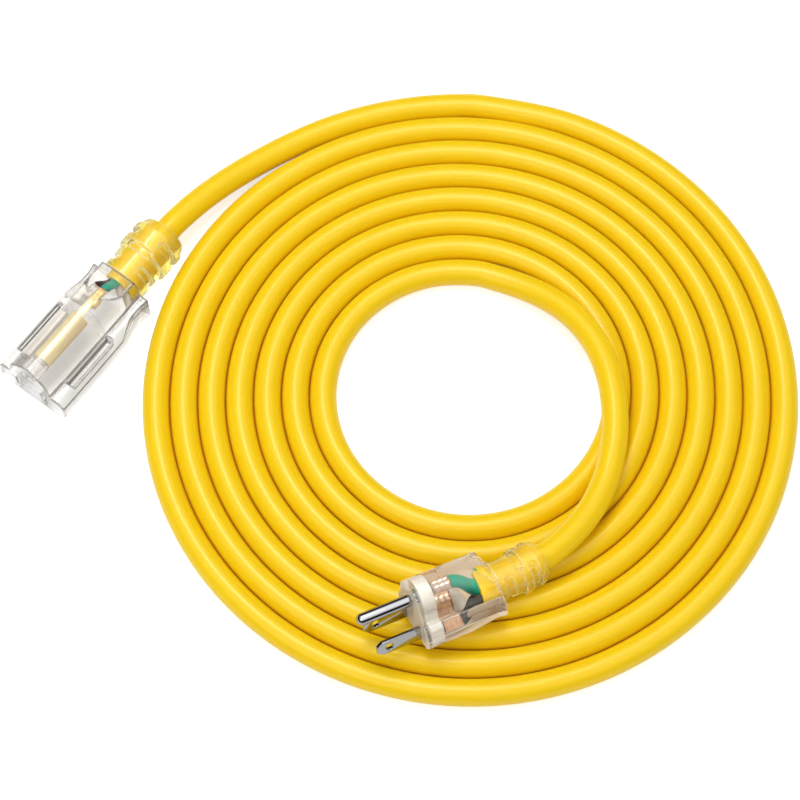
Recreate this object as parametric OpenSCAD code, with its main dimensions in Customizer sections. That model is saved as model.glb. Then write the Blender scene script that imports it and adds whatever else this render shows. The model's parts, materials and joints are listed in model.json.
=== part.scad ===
// Three-wire extension cord, lying as a flat coil with both moulded ends fitted.
// Millimetres, +Z up. The cord lies on the plane z = 0 and the origin is under the
// middle of the whole object. Local frames of the plug and the connector have +X
// out of the face, +Z towards the ground pin, and z = 0 on the line of the blades.

/* [Cord] */
// Outside diameter of the jacket
cord_d = 10.5; // [9:0.1:11]
// Outside diameter of one insulated conductor
wire_d = 3.9; // [3.2:0.1:4]
// Diameter of the stranded copper in a conductor
strand_d = 2.3; // [1.8:0.1:2.4]

/* [Coil] */
// Radius of the coil at its inner end, to the middle of the cord
coil_inner_r = 52.35; // [50:0.05:60]
// Air between neighbouring turns
coil_gap = 0.5; // [0.5:0.05:1]
// Turns from the inner end to the outer end
coil_turns = 7; // [6:1:7]

/* [Pins] */
// Width of a blade
blade_w = 6.35; // [6:0.05:6.5]
// Thickness of a blade
blade_t = 1.52; // [1.4:0.01:1.6]
// Length of a blade in front of the face
blade_out = 17.8; // [15:0.1:18.3]
// Distance between the two blades, middle to middle
blade_pitch = 12.7; // [12.5:0.1:13]
// Hole near the tip of a blade
blade_hole_d = 3.15; // [2.8:0.05:3.4]
// Diameter of the ground pin
ground_d = 4.78; // [4.6:0.02:4.9]
// Length of the ground pin in front of the face
ground_out = 21.8; // [20:0.1:22.5]
// Height of the ground pin above the line of the blades
ground_h = 11.9; // [11.6:0.05:12.2]
// Diameter of the ground pin's neck, where the bridge is moulded round it
ground_neck_d = 4.28; // [4:0.02:4.4]
// Length of that neck in front of the face
ground_neck = 0.4; // [0.4:0.1:1]

/* [Plug] */
// Length of the plug's clear housing
plug_body_l = 33; // [32:0.5:36]
// Width of the housing at the face
plug_w = 26.4; // [26:0.1:28]
// Half width of the raised ridge over the ground pin
ridge_r = 9.9; // [9.5:0.1:10.5]
// Height of the cord's axis above the line of the blades
plug_axis = 2.7; // [2.2:0.1:3]
// Length of the plug's strain relief
plug_relief_l = 21; // [20:0.5:24]
// Diameter of the plug's strain relief at its cord end
plug_relief_d = 18; // [17:0.1:18.5]
// Angle through which the plug's strain relief is bent by its cord
plug_relief_bend = 10; // [2:1:15]
// Thickness of the frosted bridge that holds the pins
bridge_t = 5.2; // [4.5:0.1:5.6]
// Clear layer of the housing in front of the bridge
bridge_set = 2.4; // [2:0.1:2.6]

/* [Connector] */
// Length of the connector's clear housing
conn_body_l = 56.5; // [56:0.5:59]
// Width of the housing at the face
conn_w = 33.2; // [32:0.1:34]
// Width of the housing at its waist, in front of the strain relief
conn_waist_w = 26.8; // [25:0.1:27]
// Distance behind the face at which the wings start to narrow
conn_waist_from = 36; // [34:0.5:38]
// Distance behind the face at which a grip pocket starts
pocket_from = 9.5; // [8:0.5:11]
// Length of a grip pocket
pocket_l = 25; // [22:0.5:25]
// Width of a grip pocket
pocket_w = 3.4; // [3:0.1:3.6]
// Distance from the line of the blade slots down to the housing's flat underside
conn_drop = 7; // [6.8:0.1:7.5]
// Height of the cord's axis above the line of the blade slots
conn_axis = 4.5; // [4.4:0.1:5]
// Length of the connector's strain relief
conn_relief_l = 27.5; // [25:0.5:29]
// Diameter of the connector's strain relief at its cord end
conn_relief_d = 22.6; // [21.5:0.1:22.8]
// Depth of the contacts behind the face
contact_set = 8.7; // [8:0.1:9.5]
// Length of the part of a contact that grips its pin
contact_l = 23.5; // [22:0.5:24]
// Wall of the stamped brass
brass_t = 0.6; // [0.5:0.05:0.7]

/* [Hidden] */
$fn = 48;

// Clearances: moulded round metal, round a wire or barrel in its chamber, cord in its
// bore, and the nudge that a cut needs
seat = 0.1;
room = 0.4;
bore_gap = 0.1;
nudge = 0.01;
hair = 0.05;    // step between two stretches of one round piece, too small to be seen

cord_r = cord_d / 2;
wire_r = wire_d / 2;
strand_r = strand_d / 2;
blade_y = blade_pitch / 2;
conn_len = conn_body_l + conn_relief_l;

// ---- Places of the coil and of the two ends -------------------------------------
// Middle of the coil
coil_at = [25.8, -3, 0];
coil_outer_r = coil_inner_r + coil_turns * (cord_d + coil_gap);

// Point round the coil: angle, how far out it lies from a radius, and height
function round_coil(p, from_r) =
    [(from_r + p[1]) * cos(p[0]), (from_r + p[1]) * sin(p[0]), p[2]];

// Middle of the plug's strain relief where it meets the housing, from the inner end,
// and where the cord leaves the connector's strain relief, from the outer end
plug_rear = round_coil([-83.7, 34.7, 21.4], coil_inner_r);
conn_exit = round_coil([151, 7.8, conn_drop + conn_axis], coil_outer_r);
// Way the plug faces, how far its pins lift, and how far it is rolled on its side
plug_turn = 204.7;
plug_lift = 4.5;
plug_roll = 22.7;
// Way the connector faces
conn_turn = 233.3;

plug_dir = [
    cos(plug_turn) * cos(plug_lift), sin(plug_turn) * cos(plug_lift), sin(plug_lift)
];
conn_dir = [cos(conn_turn), sin(conn_turn), 0];

// The strain relief bends level with the floor up to its lip, which is straight again
relief_lip = 0.16;
plug_side = [-sin(plug_turn), cos(plug_turn), 0];
plug_bent_l = plug_relief_l * (1 - relief_lip);
plug_bend_r = plug_bent_l / plug_relief_bend * 180 / PI;
plug_end_dir = cos(plug_relief_bend) * plug_dir + sin(plug_relief_bend) * plug_side;
plug_exit = plug_rear
    - plug_bend_r * sin(plug_relief_bend) * plug_dir
    - plug_bend_r * (1 - cos(plug_relief_bend)) * plug_side
    - relief_lip * plug_relief_l * plug_end_dir;

module at_plug()
    translate(coil_at + plug_rear)
        rotate([plug_roll, -plug_lift, plug_turn])
            translate([plug_body_l, 0, -plug_axis])
                children();

module at_connector()
    translate(coil_at + conn_exit)
        rotate([0, 0, conn_turn])
            translate([conn_len, 0, -conn_axis])
                children();

// ---- Tubes swept along points -----------------------------------------------------
function unit(v) = v / norm(v);
function last(list) = list[len(list) - 1];

// Direction of the path at point i, given fixed directions at both ends
function way(path, i, first_way, last_way) =
    i == 0 ? first_way :
    i == len(path) - 1 ? last_way :
    unit(unit(path[i + 1] - path[i]) + unit(path[i] - path[i - 1]));

function ring(p, dir, r, sides) =
    let (side = unit(cross(dir, [0, 0, 1])), up = cross(side, dir))
    [for (k = [0:sides - 1])
        let (a = (k + 0.5) * 360 / sides)
        p + r * (cos(a) * side + sin(a) * up)];

// Triangles between rings, with a flat fan over each end
function skin(rings, sides) = concat(
    [for (k = [1:sides - 2]) [0, k + 1, k]],
    [for (i = [0:rings - 2], k = [0:sides - 1])
        let (n = (k + 1) % sides, a = i * sides, b = a + sides)
        each [[a + k, b + n, b + k], [a + k, a + n, b + n]]],
    let (b = (rings - 1) * sides)
    [for (k = [1:sides - 2]) [b, b + k, b + k + 1]]
);

module tube(path, r, sides, first_way, last_way)
    polyhedron(
        points = [for (i = [0:len(path) - 1])
            each ring(path[i], way(path, i, first_way, last_way), r, sides)],
        faces = skin(len(path), sides),
        convexity = 10
    );

// ---- Coil ----------------------------------------------------------------------
pitch = cord_d + coil_gap;
coil_from = 85;
coil_step = 15;
coil_sides = 6;
coil_steps = 360 * coil_turns / coil_step;
// A tenth of the cord is cut away where the coil stands on the floor
coil_flat = cord_d / 10;
coil_z = cord_r - coil_flat;

// The first and last chords are the straight ends that meet the two leads
coil_path = [for (i = [0:coil_steps])
    let (a = i * coil_step, r = coil_inner_r + pitch * a / 360)
    [r * cos(coil_from + a), r * sin(coil_from + a), 0]];
coil_way_in = unit(coil_path[1] - coil_path[0]);
coil_way_out = unit(last(coil_path) - coil_path[coil_steps - 1]);

// Six-sided section with a level top, flattened underneath
function coil_ring(i) =
    let (
        dir = way(coil_path, i, coil_way_in, coil_way_out),
        side = [dir.y, -dir.x, 0],
        p = coil_path[i]
    )
    [for (k = [0:coil_sides - 1])
        let (a = k * 360 / coil_sides)
        p + cord_r * cos(a) * side
            + [0, 0, coil_z + max(cord_r * sin(a), -coil_z)]];

// Least air between a turn and the next one, from outer corners to inner edges
function to_edge(p, a, b) =
    let (t = max(0, min(1, (p - a) * (b - a) / ((b - a) * (b - a)))))
    norm(p - a - t * (b - a));
coil_outer = [for (i = [0:coil_steps]) coil_ring(i)[0]];
coil_inner = [for (i = [0:coil_steps]) coil_ring(i)[coil_sides / 2]];
coil_loop = 360 / coil_step;
coil_least_gap = min([
    for (i = [0:coil_steps], j = [i + coil_loop / 2:1:i + coil_loop * 3 / 2])
        if (j < coil_steps) each [
            to_edge(coil_outer[i], coil_inner[j], coil_inner[j + 1]),
            to_edge(coil_inner[j], coil_outer[i], coil_outer[i + 1])
        ]
]);
echo(coil_least_gap = coil_least_gap);  // cord_coil

module cord_coil()
    color("gold")
        translate(coil_at)
            polyhedron(
                points = [for (i = [0:coil_steps]) each coil_ring(i)],
                faces = skin(coil_steps + 1, coil_sides),
                convexity = 20
            );

// ---- Leads between the coil and the two ends ---------------------------------------
lead_sides = 8;

// From the inner turn the cord climbs over the next turns and runs to the plug.
// Each point is an angle, a distance out from the coil's inner radius, and a height
plug_route = [
    [76, -0.4, 5.3], [63.6, -0.6, 6.2], [52, -0.3, 8.6], [39.3, 0.6, 11],
    [27.5, 1.8, 13], [16.2, 3.3, 14.5], [5, 4.9, 15.5], [-5.9, 6.5, 15.9],
    [-15.8, 8.9, 15.9], [-24.4, 11.6, 15.8], [-32.5, 14.4, 15.9], [-40.2, 17.4, 16.1],
    [-47.4, 20.4, 16.7], [-54.2, 22.9, 17.6]
];
// From the outer turn the cord runs off to the connector and rises into it. These
// points are counted from the coil's outer radius
conn_route = [
    [92.7, 0.6, 5.3], [100.6, 0.7, 5.3], [106.5, 0.9, 5.3], [112, 1.3, 5.3],
    [117.7, 1.7, 5.3], [123.5, 2.1, 5.5], [129.2, 2.8, 6.4], [134.8, 3.8, 8],
    [140.3, 5, 9.8]
];

module plug_lead()
    color("gold")
        translate(coil_at)
            tube(
                concat(
                    [coil_path[0] + [0, 0, cord_r]],
                    [for (p = plug_route) round_coil(p, coil_inner_r)],
                    [plug_exit - cord_d * plug_end_dir, plug_exit]
                ),
                cord_r, lead_sides, -coil_way_in, plug_end_dir
            );

module connector_lead()
    color("gold")
        translate(coil_at)
            tube(
                concat(
                    [last(coil_path) + [0, 0, cord_r]],
                    [for (p = conn_route) round_coil(p, coil_outer_r)],
                    [conn_exit - cord_d * conn_dir, conn_exit]
                ),
                cord_r, lead_sides, coil_way_out, conn_dir
            );

// ---- Shared forms of the two moulded ends --------------------------------------------
// A flat figure in y and z drawn out from x0 to x1
module along_x(x0, x1)
    translate([x0, 0, 0])
        rotate([90, 0, 90])
            linear_extrude(x1 - x0)
                children();

// A flat figure in x and z drawn out to both sides of the middle
module across_y(width)
    translate([0, width / 2, 0])
        rotate([90, 0, 0])
            linear_extrude(width)
                children();

module rod(x0, x1, r, y = 0, z = 0)
    translate([x0, y, z])
        rotate([0, 90, 0])
            cylinder(h = x1 - x0, r = r);

// Box between two heights, centred in y
module slab(x0, x1, width, z0, z1, y = 0)
    translate([x0, y - width / 2, z0])
        cube([x1 - x0, width, z1 - z0]);

module soft_rect(y0, y1, z0, z1, r) {
    translate([y0 + r, z0])
        square([y1 - y0 - 2 * r, z1 - z0]);
    translate([y0, z0 + r])
        square([y1 - y0, z1 - z0 - 2 * r]);
    for (y = [y0 + r, y1 - r], z = [z0 + r, z1 - r])
        translate([y, z])
            circle(r);
}

// Arch with straight legs, standing on z0
module arch(r, z0, top) {
    translate([0, top - r])
        circle(r);
    translate([-r, z0])
        square([2 * r, top - r - z0]);
}

// Quarter of an ellipse that falls from (x0, z0) to (x1, z1)
function shoulder(x0, z0, x1, z1, steps = 6) =
    [for (i = [0:steps])
        let (a = i * 90 / steps)
        [x0 + (x1 - x0) * sin(a), z1 + (z0 - z1) * cos(a)]];

// Closed figure from one edge and its mirror image; the edge starts and ends on y = 0
module both_sides(edge)
    polygon(concat(edge, [for (i = [len(edge) - 2:-1:1]) [edge[i].x, -edge[i].y]]));

// Level S-shaped run between two half widths
function sweep_s(x0, y0, x1, y1, steps = 6) =
    [for (i = [0:steps])
        let (t = i / steps)
        [x0 + (x1 - x0) * t, (y0 + y1) / 2 + (y0 - y1) / 2 * cos(180 * t)]];

// ---- Strain reliefs ----------------------------------------------------------------
// A strain relief starts at the origin and runs along -X. With a bend it curves about
// a vertical line, level with the floor, so its parts are placed by their distance
// along it. The bend is the whole angle, spread over all but the straight lip
function bend_r(length, bend) = length * (1 - relief_lip) / bend * 180 / PI;

// Brings a part to a distance along the relief
module at_bend(s, length, bend)
    if (bend == 0)
        translate([-s, 0, 0])
            children();
    else {
        r = bend_r(length, bend);
        translate([0, -r, 0])
            rotate([0, 0, s / r * 180 / PI])
                translate([0, r, 0])
                    children();
    }

// Round stretch of one radius, between two distances along the relief
module bent_rod(s0, s1, radius, length, bend)
    if (bend == 0)
        rod(-s1, -s0, radius);
    else {
        r = bend_r(length, bend);
        translate([0, -r, 0])
            rotate([0, 0, 90 + s0 / r * 180 / PI])
                rotate_extrude(angle = (s1 - s0) / r * 180 / PI)
                    translate([r, 0])
                        circle(radius);
    }

// Cord inside the relief, with its straight end in the lip. That end is a hair thinner,
// so that the two don't share a surface
module cord_in_relief(radius, length, bend, over = 0) {
    lip = length * relief_lip;
    bent_rod(-over, length - lip, radius, length, bend);
    at_bend(length - lip, length, bend)
        rod(-lip - over, nudge, radius - hair);
}

// Slots: two rows open to the sides, and between them one row open to the top and the
// bottom. All end on the inner tube round the cord
relief_core_r = cord_r + bore_gap + 0.9;
slot_w = 3;
spine_half = 4.3;
side_slots_at = [0.22, 0.7];
top_slot_at = 0.48;
module relief_slots(length, r_end, bend, roll) {
    difference() {
        union() {
            for (side = [-1, 1], at = side_slots_at)
                at_bend(length * at, length, bend)
                    rotate([roll, 0, 0])
                        translate([0, side * (spine_half + r_end), 0])
                            cube([slot_w, 2 * r_end, 1.7 * r_end], center = true);
            for (side = [-1, 1])
                at_bend(length * top_slot_at, length, bend)
                    rotate([roll, 0, 0])
                        translate([0, 0, side * 1.5 * r_end])
                            cube([slot_w, 1.03 * r_end, 2 * r_end], center = true);
        }
        cord_in_relief(relief_core_r, length, bend);
    }
}

// Flexible sleeve behind a housing, thicker towards the cord's end. The roll is that
// of the end it belongs to, which the slots keep and the bend doesn't
module relief(length, r_end, rear_x, axis_z, bend = 0, roll = 0) {
    r_root = r_end * 0.88;
    r_mouth = r_end * 0.8;
    step = length * 0.45;
    lip = length * relief_lip;
    translate([rear_x, 0, axis_z])
        rotate([-roll, 0, 0])
            difference() {
                union() {
                    bent_rod(0, step + nudge, r_root, length, bend);
                    bent_rod(step, length - lip, r_end, length, bend);
                    at_bend(length - lip - nudge, length, bend)
                        rotate([0, -90, 0])
                            cylinder(h = lip + nudge, r1 = r_end - hair, r2 = r_mouth);
                }
                cord_in_relief(cord_r + bore_gap, length, bend, nudge);
                relief_slots(length, r_end, bend, roll);
            }
}

// Place of a conductor round the cord's axis, by the side it goes to. The ground lies
// on top and the others below it, and the three may be turned together
lay_r = wire_r * 1.2;
function lay(side, turned = 0) =
    let (a = 90 - 120 * side + turned)
    lay_r * [cos(a), sin(a)];

// Insulated conductor from the cut jacket at x0 to its barrel at x1
wire_sides = 10;
wire_rings = 8;
module wire(x0, x1, from, to) {
    path = [for (i = [0:wire_rings])
        let (t = i / wire_rings, s = (1 - cos(180 * t)) / 2)
        [x0 + (x1 - x0) * t,
            from.x + (to.x - from.x) * s,
            from.y + (to.y - from.y) * s]];
    tube(path, wire_r, wire_sides, [1, 0, 0], [1, 0, 0]);
}

// Barrel pinched round the bare strands, from x0 to x1
barrel_t = 0.75;
barrel_r = strand_r + seat / 2 + barrel_t;
module barrel(x0, x1, y, z)
    difference() {
        intersection() {
            rod(x0, x1, barrel_r, y, z);
            slab(x0, x1, 2 * barrel_r - 0.5, z - barrel_r, z + barrel_r, y);
        }
        rod(x0 - nudge, x1 + nudge, strand_r + seat / 2, y, z);
    }

// ---- Plug ----------------------------------------------------------------------------
ridge_top = ground_h + 6.6;
plug_drop = 5;
plug_top = 5.8;
plug_jacket_x = -26;
plug_wire_x = -16;
plug_barrel = [-15.2, -8.5];
bridge_r = ground_d / 2 + 3.6;
lobe_y = 4.4;
lobe_z = blade_w / 2 + 1.5;
bridge_back = bridge_set + bridge_t;
plug_lay_turn = 35;

// Front figure of the bridge, with a margin all round for its pocket
module bridge_figure(margin = 0) {
    translate([0, ground_h])
        circle(bridge_r + margin);
    translate([-bridge_r + 1.5 - margin, -margin])
        square([2 * bridge_r - 3 + 2 * margin, ground_h + margin]);
    soft_rect(
        -blade_y - lobe_y - margin, blade_y + lobe_y + margin,
        -lobe_z - margin, lobe_z + margin, 2.4 + margin
    );
}

module plug_outline() {
    rear = -plug_body_l;
    half = plug_w / 2;
    intersection() {
        along_x(rear, 0)
            soft_rect(-half, half, -plug_drop, plug_top, 3.4);
        across_y(plug_w + 4)
            polygon([
                [0, -plug_drop], [0, plug_top], [rear, plug_top], [rear, -1.8],
                [rear + 5, -2.3], [rear + 14, -4], [rear + 22, -4.8]
            ]);
        translate([0, 0, -plug_drop])
            linear_extrude(plug_drop + plug_top)
                both_sides(concat(
                    [[0, 0], [0, half]], sweep_s(-6, half - 0.3, -20, half - 0.9),
                    [[rear + 4, half - 0.9], [rear + 1, half], [rear, half], [rear, 0]]
                ));
    }
    intersection() {
        along_x(rear, 0)
            arch(ridge_r, 0, ridge_top);
        across_y(4 * ridge_r)
            polygon(concat(
                [[rear, 0], [0, 0], [0, ridge_top]],
                shoulder(rear + 12, ridge_top, rear + 1, plug_axis + ridge_r - 4),
                [[rear, plug_axis + ridge_r - 4]]
            ));
    }
    rod(rear, rear + 17, ridge_r - 0.5, 0, plug_axis);
}

// Holes for the three pins, through the bridge and the layer in front of it
module pin_holes() {
    for (side = [-1, 1])
        slab(-bridge_back - 1, 1, blade_t + 2 * seat, -blade_w / 2 - seat,
            blade_w / 2 + seat, side * blade_y);
    rod(-bridge_back - 1, 1, ground_neck_d / 2 + seat, 0, ground_h);
}

module plug_housing() {
    rear = -plug_body_l;
    back = -bridge_back - seat;
    mid = (plug_jacket_x + plug_wire_x) / 2;
    line_lay = lay(1, plug_lay_turn);
    ground_lay = lay(0, plug_lay_turn);
    color("whitesmoke", 0.5)
        at_plug()
            difference() {
                plug_outline();
                along_x(back, seat - bridge_set)
                    bridge_figure(seat);
                pin_holes();
                // Room for the two blade barrels, and for their wires behind
                slab(mid, back + nudge, 2 * (blade_y + wire_r + room),
                    -wire_r - room, (plug_axis + line_lay.y) / 2 + wire_r + room);
                slab(plug_jacket_x, mid + nudge, 2 * (blade_y + room),
                    -wire_r, plug_axis + wire_d + room);
                // Room for the ground barrel, and for its wire behind
                slab(mid, back + nudge, 2 * (wire_r - ground_lay.x / 2 + room), 0,
                    ground_h + barrel_r + room);
                slab(plug_jacket_x, mid + nudge, 2 * (wire_r - ground_lay.x + room), 0,
                    ground_h + room);
                rod(rear - nudge, plug_jacket_x + nudge, cord_r + bore_gap, 0, plug_axis);
            }
}

module plug_strain_relief()
    color("lightgoldenrodyellow", 0.6)
        at_plug()
            relief(plug_relief_l, plug_relief_d / 2, -plug_body_l, plug_axis,
                plug_relief_bend, plug_roll);

module plug_bridge()
    color("white")
        at_plug()
            difference() {
                along_x(-bridge_back, -bridge_set)
                    bridge_figure();
                pin_holes();
            }

// Flat pin with a tapered tip and its hole, on a neck and a crimped barrel
module blade_pin(side) {
    half = blade_w / 2;
    taper = 1.6;
    y = side * blade_y;
    translate([0, y, 0])
        across_y(blade_t)
            difference() {
                polygon([
                    [-bridge_back, -half], [blade_out - 1.5 * taper, -half],
                    [blade_out, -half + taper], [blade_out, half - taper],
                    [blade_out - 1.5 * taper, half], [-bridge_back, half]
                ]);
                translate([blade_out - 5, 0])
                    circle(d = blade_hole_d);
            }
    slab(plug_barrel[1] - nudge, -bridge_back + nudge, blade_t, -barrel_r * 0.8,
        barrel_r * 0.8, y);
    barrel(plug_barrel[0], plug_barrel[1], y, 0);
}

module plug_line_blade()
    color("silver") at_plug() blade_pin(1);

module plug_neutral_blade()
    color("silver") at_plug() blade_pin(-1);

module plug_ground_pin() {
    r = ground_d / 2;
    color("silver")
        at_plug() {
            rod(ground_neck, ground_out - r, r, 0, ground_h);
            translate([ground_out - r, 0, ground_h])
                sphere(r);
            rod(-bridge_back, ground_neck + nudge, ground_neck_d / 2, 0, ground_h);
            rod(plug_barrel[1] - nudge, -bridge_back + nudge, r * 0.7, 0, ground_h);
            barrel(plug_barrel[0], plug_barrel[1], 0, ground_h);
        }
}

module plug_jacket_end()
    color("gold")
        at_plug() {
            rod(-plug_body_l - nudge, plug_jacket_x, cord_r - hair, 0, plug_axis);
            translate([-plug_body_l, 0, plug_axis])
                rotate([-plug_roll, 0, 0])
                    cord_in_relief(cord_r, plug_relief_l, plug_relief_bend);
        }

// Height of a pin's axis: the blades lie on z = 0, the ground pin above them
function pin_at(side) = side == 0 ? [0, ground_h] : [side * blade_y, 0];

module plug_wire(side)
    at_plug()
        wire(plug_jacket_x, plug_wire_x, lay(side, plug_lay_turn) + [0, plug_axis],
            pin_at(side));

module plug_strands(side)
    color("peru")
        at_plug()
            rod(plug_wire_x, plug_barrel[1] - 0.3, strand_r, pin_at(side).x, pin_at(side).y);

module plug_line_wire() color("dimgray") plug_wire(1);
module plug_neutral_wire() color("white") plug_wire(-1);
module plug_ground_wire() color("mediumseagreen") plug_wire(0);
module plug_line_strands() plug_strands(1);
module plug_neutral_strands() plug_strands(-1);
module plug_ground_strands() plug_strands(0);

// ---- Connector --------------------------------------------------------------------------
conn_top = 6;
conn_jacket_in = 2.5;    // jacket that is left inside the housing
conn_jacket_x = conn_jacket_in - conn_body_l;
contact_end = -contact_set - contact_l;
carrier_l = contact_set + contact_l + 3.5;
// The wires fan out over their part of the way from the jacket to the carrier, and
// the barrels take the rest
conn_fan = 0.3825;
conn_wire_x = conn_jacket_x - conn_fan * (conn_jacket_x + carrier_l);
conn_barrel = [conn_wire_x + 0.8, -carrier_l - 2.8];
socket_r = ground_d / 2 + 0.07;
carrier_y = blade_y + 3.2;
carrier_r = 6.4;

// Front figure of the block that holds the contacts
module carrier_figure(margin = 0) {
    arch(carrier_r + margin, 0, ground_h + 4.4 + margin);
    soft_rect(
        -carrier_y - margin, carrier_y + margin,
        -5 - margin, 4.8 + margin, 2 + margin
    );
}

module connector_outline() {
    rear = -conn_body_l;
    half = conn_w / 2;
    waist = conn_waist_w / 2;
    intersection() {
        along_x(rear, 0)
            soft_rect(-half, half, -conn_drop, conn_top, 4);
        translate([0, 0, -conn_drop])
            linear_extrude(conn_drop + conn_top)
                both_sides(concat(
                    [[0, 0], [0, half - 0.6], [-0.8, half]],
                    sweep_s(-conn_waist_from, half - 0.2, rear + 8, waist),
                    [[rear + 4, waist], [rear + 1, waist + 0.7], [rear, waist + 0.7],
                        [rear, 0]]
                ));
    }
    intersection() {
        along_x(rear, 0)
            arch(ridge_r, -conn_drop, ridge_top);
        across_y(4 * ridge_r)
            polygon(concat(
                [[rear, -conn_drop], [0, -conn_drop], [0, ridge_top - 0.8],
                    [-0.8, ridge_top]],
                sweep_s(rear + 18, ridge_top, rear + 6, conn_axis + ridge_r),
                [[rear, conn_axis + ridge_r]]
            ));
    }
}

module connector_housing() {
    rear = -conn_body_l;
    back = -carrier_l - seat;
    roof = ground_h + socket_r + brass_t + room;
    color("whitesmoke", 0.5)
        at_connector()
            difference() {
                connector_outline();
                along_x(back, nudge)
                    carrier_figure(seat);
                // Room for the barrels and wires behind the carrier
                slab(conn_jacket_x, back + nudge, 2 * (blade_y + wire_r + room),
                    -wire_r - room, conn_axis + wire_r);
                across_y(2 * (wire_r + room))
                    polygon([
                        [conn_jacket_x, 0], [back + nudge, 0], [back + nudge, roof],
                        [conn_wire_x, roof], [conn_jacket_x, conn_axis + cord_r]
                    ]);
                rod(rear - nudge, conn_jacket_x + nudge, cord_r + bore_gap, 0, conn_axis);
                // Long grip pockets in the top of the wings, beside the ridge
                for (side = [-1, 1])
                    slab(-pocket_from - pocket_l, -pocket_from, pocket_w, 1.5,
                        conn_top + 1, side * (ridge_r + 0.5 + pocket_w / 2));
            }
}

module connector_strain_relief()
    color("lightgoldenrodyellow", 0.6)
        at_connector()
            relief(conn_relief_l, conn_relief_d / 2, -conn_body_l, conn_axis);

slot_w_blade = blade_t + 0.5;
line_slot_h = blade_w + 0.7;
neutral_slot_h = blade_w + 2;
module connector_contact_carrier()
    color("white", 0.8)
        at_connector()
            difference() {
                along_x(-carrier_l, 0)
                    carrier_figure();
                slab(-carrier_l - 1, 1, slot_w_blade, -line_slot_h / 2, line_slot_h / 2,
                    -blade_y);
                slab(-carrier_l - 1, 1, slot_w_blade, -neutral_slot_h / 2,
                    neutral_slot_h / 2, blade_y);
                for (side = [-1, 1])
                    slab(-carrier_l - 1, -contact_set + seat,
                        blade_t + 2 * brass_t + 2 * seat + 0.2, -blade_w / 2 - 0.4,
                        blade_w / 2 + 0.4, side * blade_y);
                rod(-carrier_l - 1, 1, ground_d / 2 + 0.4, 0, ground_h);
                rod(-carrier_l - 1, -contact_set + seat, socket_r + brass_t + seat, 0,
                    ground_h);
            }

// Two brass leaves that grip a blade, on a neck and a crimped barrel
module blade_contact(side) {
    y = side * blade_y;
    gap = blade_t - 0.1;
    leaf_h = blade_w;
    difference() {
        slab(contact_end, -contact_set, gap + 2 * brass_t, -leaf_h / 2, leaf_h / 2, y);
        slab(contact_end + brass_t, -contact_set + 1, gap, -leaf_h, leaf_h, y);
    }
    slab(conn_barrel[1] - nudge, contact_end + nudge, brass_t * 2, -barrel_r * 0.8,
        barrel_r * 0.8, y);
    barrel(conn_barrel[0], conn_barrel[1], y, 0);
}

module connector_line_contact()
    color("goldenrod") at_connector() blade_contact(-1);

module connector_neutral_contact()
    color("goldenrod") at_connector() blade_contact(1);

// Rolled brass sleeve, split underneath, on a thinner curved neck and a crimped barrel
module connector_ground_contact() {
    neck_z = ground_h + socket_r * 0.8;
    neck_r = socket_r + 0.2;
    color("goldenrod")
        at_connector() {
            difference() {
                rod(conn_barrel[1] - nudge, -contact_set, socket_r + brass_t, 0, ground_h);
                rod(contact_end, -contact_set + 1, socket_r, 0, ground_h);
                rod(conn_barrel[1] - 1, contact_end, neck_r, 0, ground_h);
                slab(conn_barrel[1] - 1, contact_end, 3 * socket_r,
                    ground_h - 2 * socket_r, neck_z);
                slab(contact_end - 1, -contact_set + 1, 0.8, ground_h - 2 * socket_r,
                    ground_h);
            }
            slab(conn_barrel[1] - nudge, conn_barrel[1] + 2 * brass_t, 2 * strand_r,
                ground_h, ground_h + neck_r + nudge);
            barrel(conn_barrel[0], conn_barrel[1], 0, ground_h);
        }
}

module connector_jacket_end()
    color("gold")
        at_connector()
            rod(-conn_len, conn_jacket_x, cord_r, 0, conn_axis);

module connector_wire(side)
    at_connector()
        wire(conn_jacket_x, conn_wire_x, lay(side) + [0, conn_axis], pin_at(side));

module connector_strands(side)
    color("peru")
        at_connector()
            rod(conn_wire_x, conn_barrel[1] - 0.3, strand_r, pin_at(side).x, pin_at(side).y);

module connector_line_wire() color("dimgray") connector_wire(-1);
module connector_neutral_wire() color("white") connector_wire(1);
module connector_ground_wire() color("mediumseagreen") connector_wire(0);
module connector_line_strands() connector_strands(-1);
module connector_neutral_strands() connector_strands(1);
module connector_ground_strands() connector_strands(0);

cord_coil();
plug_lead();
connector_lead();
plug_housing();
plug_strain_relief();
plug_bridge();
plug_line_blade();
plug_neutral_blade();
plug_ground_pin();
plug_jacket_end();
plug_line_wire();
plug_neutral_wire();
plug_ground_wire();
plug_line_strands();
plug_neutral_strands();
plug_ground_strands();
connector_housing();
connector_strain_relief();
connector_contact_carrier();
connector_line_contact();
connector_neutral_contact();
connector_ground_contact();
connector_jacket_end();
connector_line_wire();
connector_neutral_wire();
connector_ground_wire();
connector_line_strands();
connector_neutral_strands();
connector_ground_strands();
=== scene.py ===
# %% [markdown]
# # A yellow extension cord, coiled flat on a table
#
# The cord is one long vinyl tube. It starts in a clear connector, winds seven
# turns inwards, climbs over its own turns and ends in a clear plug. The rigid
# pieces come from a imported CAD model, and this lesson dresses them.

# %% Load the frame
import math

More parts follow.
